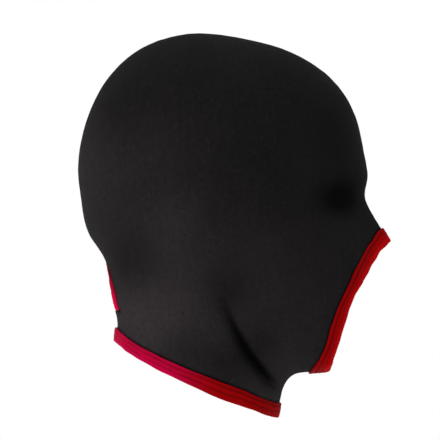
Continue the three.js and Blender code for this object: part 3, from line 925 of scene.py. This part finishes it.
class Finish:
    def __init__(self, name):
        self.material = bpy.data.materials.new(name)
        self.material.use_nodes = True
        self.tree = self.material.node_tree
        self.tree.nodes.clear()

    def node(self, kind, settings, sockets, output=0):
        made = self.tree.nodes.new(kind)
        for name, value in settings.items():
            setattr(made, name, value)
        for key, value in sockets.items():
            if isinstance(value, Wire):
                self.tree.links.new(value.socket, made.inputs[key])
            else:
                made.inputs[key].default_value = value
        return Wire(self, made.outputs[output]) if made.outputs else None

    def mapped(self, uvName):
        place = self.node("ShaderNodeUVMap", {"uv_map": uvName}, {})
        return place, *(self.node("ShaderNodeSeparateXYZ", {}, {0: place}, k) for k in (0, 1))

    def here(self):
        return self.node("ShaderNodeTexCoord", {}, {}, "Object")

    def value(self, name):  # one of the piece's own values
        return self.node("ShaderNodeAttribute", {"attribute_name": name}, {}, "Fac")

    def grain(self, vector, scale, detail=3.0, roughness=0.55):
        return self.node("ShaderNodeTexNoise", {}, {"Vector": vector, "Scale": scale, "Detail": detail,
                                                    "Roughness": roughness})

    def spread(self, vector, scale):  # grain drawn out along the cloth
        return self.grain(self.node("ShaderNodeMapping", {}, {"Vector": vector, "Scale": scale}), 1.0, 2.0)

    def mixed(self, amount, first, second):
        return self.node("ShaderNodeMix", {"data_type": "RGBA"}, {0: amount, 6: first, 7: second}, 2)

    def raised(self, height, distance, strength, under=None):
        sockets = {"Height": height, "Distance": distance, "Strength": strength}
        if under:
            sockets["Normal"] = under
        return self.node("ShaderNodeBump", {}, sockets)

    def done(self, **sockets):
        sockets = {name.replace("_", " "): value for name, value in sockets.items()}
        shader = self.node("ShaderNodeBsdfPrincipled", {}, sockets)
        self.node("ShaderNodeOutputMaterial", {}, {"Surface": shader})
        return self.material


# a grain is its count per metre, detail and roughness, a relief its height and strength
knit = {
    # the slack colour is the knit in painted shade, the taut colour the pulled knit in painted light
    "slackAndShaded": (0.0055, 0.0052, 0.0054, 1), "tautAndLit": (0.0272, 0.0230, 0.0244, 1),
    # folded is the near black of the painted shade in the creases, the hollow and along the tapes
    "folded": (0.0006, 0.0006, 0.0006, 1), "wale": 0.62 * mm, "course": 0.5 * mm, "slant": 0.9, "arch": 3.6,
    "patch": (24.0, 5.0, 0.6), "pill": (330.0, 3.0, 0.7), "fuzz": (2600.0, 2.0, 0.7),
    "streak": (480, 36, 1), "speck": (640, 360, 1), "pit": (560, 380, 1),  # drawn out: per metre each way
    "speckSpan": (0.6, 0.76), "pitSpan": (0.22, 0.38), "few": 0.12,
    "shares": (0.16, 0.42, 0.8, 1.2, 1.1, -0.8),  # of stitch, streak, patch, pill, speck and pit in its tone
    "tone": (0.075, 0.6), "stir": (0.22, 0.34),  # slack, and more where it is pulled and painted light
    "rough": (0.86, 0.1), "stitchRough": 0.06, "fuzzRelief": 0.35,
    "softRelief": (0.6 * mm, 0.25), "lineRelief": (0.12 * mm, 0.5), "relief": (0.16 * mm, 0.8),
    "specular": 0.02, "sheen": 0.006, "sheenRough": 0.45, "sheenTint": (0.85, 0.87, 0.92, 1),
}
redTape = {
    # slack and taut are the shaded and the lit copy of the red, the lit one painted light towards the back;
    # the darkest red is the painted shade
    "slackAndShaded": ((0.13, 0.0002, 0.0004, 1), (0.33, 0.0006, 0.0014, 1)), "shaded": (0.055, 0.0001, 0.0002, 1),
    "tautAndLit": ((0.27, 0.0003, 0.0180, 1), (0.475, 0.0008, 0.0550, 1)), "rib": 0.55 * mm, "cross": (0.6, 0.4),
    "patch": (60.0, 4.0), "fuzz": (3000.0, 2.0, 0.7), "streak": (40, 900, 1),
    "shares": (0.25, 0.4, 0.35), "tone": 0.05, "toneSpan": (0.1, 0.95),  # of weave, patch and streak
    "rough": (0.72, 0.16), "fuzzRelief": 0.4, "softRelief": (0.4 * mm, 0.3), "relief": (0.1 * mm, 0.7),
    "specular": 0.02,
}
threads = {
    "red": ((0.13, 0.0003, 0.0010, 1), (0.30, 0.0006, 0.0030, 1)),
    "black": ((0.0015, 0.0014, 0.0016, 1), (0.011, 0.0095, 0.011, 1)),
    "patch": (240.0, 2.0), "twist": (2400.0, 3.0, 0.6), "shares": (0.6, 0.4), "toneSpan": (0.2, 0.8),
    "rough": (0.6, 0.25), "relief": (0.08 * mm, 0.8), "specular": 0.06,
}


def rising(pair, wire):  # a value and how much of the wire is added to it
    return pair[0] + pair[1] * wire


def blended(shares, *wires):
    return sum(share * wire for share, wire in zip(shares, wires))


def knitFinish():
    finish = Finish("blackKnit")
    place, u, v = finish.mapped("knitMap")
    pullAndLight = finish.value("pulledAndLit")
    fromMiddle = ((u / knit["wale"]).part() - 0.5).size()  # 0 in the middle of a wale
    loops = (v / knit["course"] + fromMiddle * knit["slant"]).wave()
    stitch = (1 - fromMiddle * fromMiddle * knit["arch"]) * (0.5 + 0.5 * loops)
    patch, pill, fuzz = (finish.grain(finish.here(), *knit[k]) for k in ("patch", "pill", "fuzz"))
    streak, speck, pit = (finish.spread(place, knit[k]) for k in ("streak", "speck", "pit"))
    speck, pit = speck.between(*knit["speckSpan"]), 1 - pit.between(*knit["pitSpan"])
    even = [wire - 0.5 for wire in (stitch, streak, patch, pill)] + [speck - knit["few"], pit - knit["few"]]
    uneven = blended(knit["shares"], *even)
    tone = rising(knit["tone"], pullAndLight) + uneven * rising(knit["stir"], pullAndLight)
    # painted light: lighter where the knit is pulled and lit, low at the back
    colour = finish.mixed(tone, knit["slackAndShaded"], knit["tautAndLit"])
    # painted shade: near black in the creases, the eye hollow and along the tape edges
    colour = finish.mixed(finish.value("folded"), colour, knit["folded"])
    rough = rising(knit["rough"], fuzz) - knit["stitchRough"] * stitch
    soft = finish.raised(patch, *knit["softRelief"])
    lined = finish.raised(streak, *knit["lineRelief"], soft)
    normal = finish.raised(stitch + knit["fuzzRelief"] * fuzz, *knit["relief"], lined)
    return finish.done(Base_Color=colour, Roughness=rough, Normal=normal, Specular_IOR_Level=knit["specular"],
                       Sheen_Weight=knit["sheen"], Sheen_Roughness=knit["sheenRough"],
                       Sheen_Tint=knit["sheenTint"])


def tapeFinish(tape):
    finish = Finish("redTape." + tape["node"])
    place, u, v = finish.mapped("tapeMap")
    ribs = (v / redTape["rib"]).wave()
    weave = ribs * rising(redTape["cross"], (u / redTape["rib"] + 0.5 * ribs).wave())
    patch, fuzz = (finish.grain(finish.here(), *redTape[k]) for k in ("patch", "fuzz"))
    streak = finish.spread(place, redTape["streak"])
    tone = blended(redTape["shares"], weave, patch, streak) + redTape["tone"]
    tone = tone.between(*redTape["toneSpan"])
    slackAndShaded, tautAndLit = ([[c * tape["tone"] for c in shade[:3]] + [1] for shade in redTape[k]]
                   for k in ("slackAndShaded", "tautAndLit"))
    # painted light towards the back of the tape
    colour = finish.mixed(finish.value("pulledAndLit"), finish.mixed(tone, *slackAndShaded), finish.mixed(tone, *tautAndLit))
    # painted shade in the grooves, at the keyhole's arch top and beside the fabric
    colour = finish.mixed(finish.value("paintedShade"), colour, redTape["shaded"])
    soft = finish.raised(patch, *redTape["softRelief"])
    normal = finish.raised(weave + redTape["fuzzRelief"] * fuzz, *redTape["relief"], soft)
    return finish.done(Base_Color=colour, Roughness=rising(redTape["rough"], fuzz), Normal=normal,
                       Specular_IOR_Level=redTape["specular"])


def threadFinish(colour):
    finish = Finish(colour + "Thread")
    patch, twist = (finish.grain(finish.here(), *threads[k]) for k in ("patch", "twist"))
    tone = blended(threads["shares"], patch, twist).between(*threads["toneSpan"])
    normal = finish.raised(twist, *threads["relief"])
    return finish.done(Base_Color=finish.mixed(tone, *threads[colour]), Normal=normal,
                       Roughness=rising(threads["rough"], twist), Specular_IOR_Level=threads["specular"])


blackKnit = knitFinish()
redThread = threadFinish("red")
tacks.data.materials.append(threadFinish("black"))
for panel in (rightPanel, leftPanel):
    panel.data.materials.append(blackKnit)
for name, tape in tapes.items():
    bindings[name].data.materials.append(tapeFinish(tape))
    stitches[name].data.materials.append(redThread)
print("hood: finishes made")


# stage, light and camera

studio = {
    "floorDrop": 0.5, "floorSize": 12, "floorShades": (0.92, 0.9062), "floorCloud": (3.0, 2.0),
    "skyStrength": 1.0, "lights": {  # place, size, power and colour
        "backSoft": ((-0.9, 1.3, -0.25), 1.0, 9.0, (1.0, 0.97, 1.0)),
        "topSoft": ((-0.4, 0.2, 1.5), 1.2, 7.0, (1, 1, 1)),
    },
    "aim": (0.0, -0.0135, -0.1247), "distance": 3.0, "sensor": 36, "clipEnd": 50,
    "frameWidth": 0.297,  # metres across the picture at the aim
}


def floorFinish():
    finish = Finish("paleFloor")
    cloud = finish.grain(finish.here(), *studio["floorCloud"])
    colour = finish.mixed(cloud, *((shade, shade, shade, 1) for shade in studio["floorShades"]))
    return finish.done(Base_Color=colour, Roughness=0.9)


def softLight(name, place, size, power, colour):
    light = bpy.data.lights.new(name, "AREA")
    light.shape, light.size, light.energy, light.color = "DISK", size, power, colour
    obj = newObject(name, light)
    obj.location = place
    obj.rotation_euler = (Vector(studio["aim"]) - Vector(place)).to_track_quat("-Z", "Y").to_euler()


clearSelection()
bpy.ops.mesh.primitive_plane_add(size=studio["floorSize"], location=(0, 0, cadBox[0].z - studio["floorDrop"]))
floor = bpy.context.object
floor.name = "floor"
floor.data.materials.append(floorFinish())

world = bpy.data.worlds.new("studioSky")
world.use_nodes = True
sky = world.node_tree.nodes["Background"]
sky.inputs["Color"].default_value = (1, 1, 1, 1)
sky.inputs["Strength"].default_value = studio["skyStrength"]
bpy.context.scene.world = world
bpy.context.scene.view_settings.view_transform = "Standard"

for name, look in studio["lights"].items():
    softLight(name, *look)

camera = bpy.data.cameras.new("camera")
camera.sensor_width = studio["sensor"]
camera.lens = camera.sensor_width * studio["distance"] / studio["frameWidth"]
camera.clip_end = studio["clipEnd"]
cameraObj = newObject("camera", camera)
cameraObj.location = Vector(studio["aim"]) - Vector((studio["distance"], 0, 0))  # from the hood's right side
cameraObj.rotation_euler = (math.radians(90), 0, math.radians(-90))
bpy.context.scene.camera = cameraObj
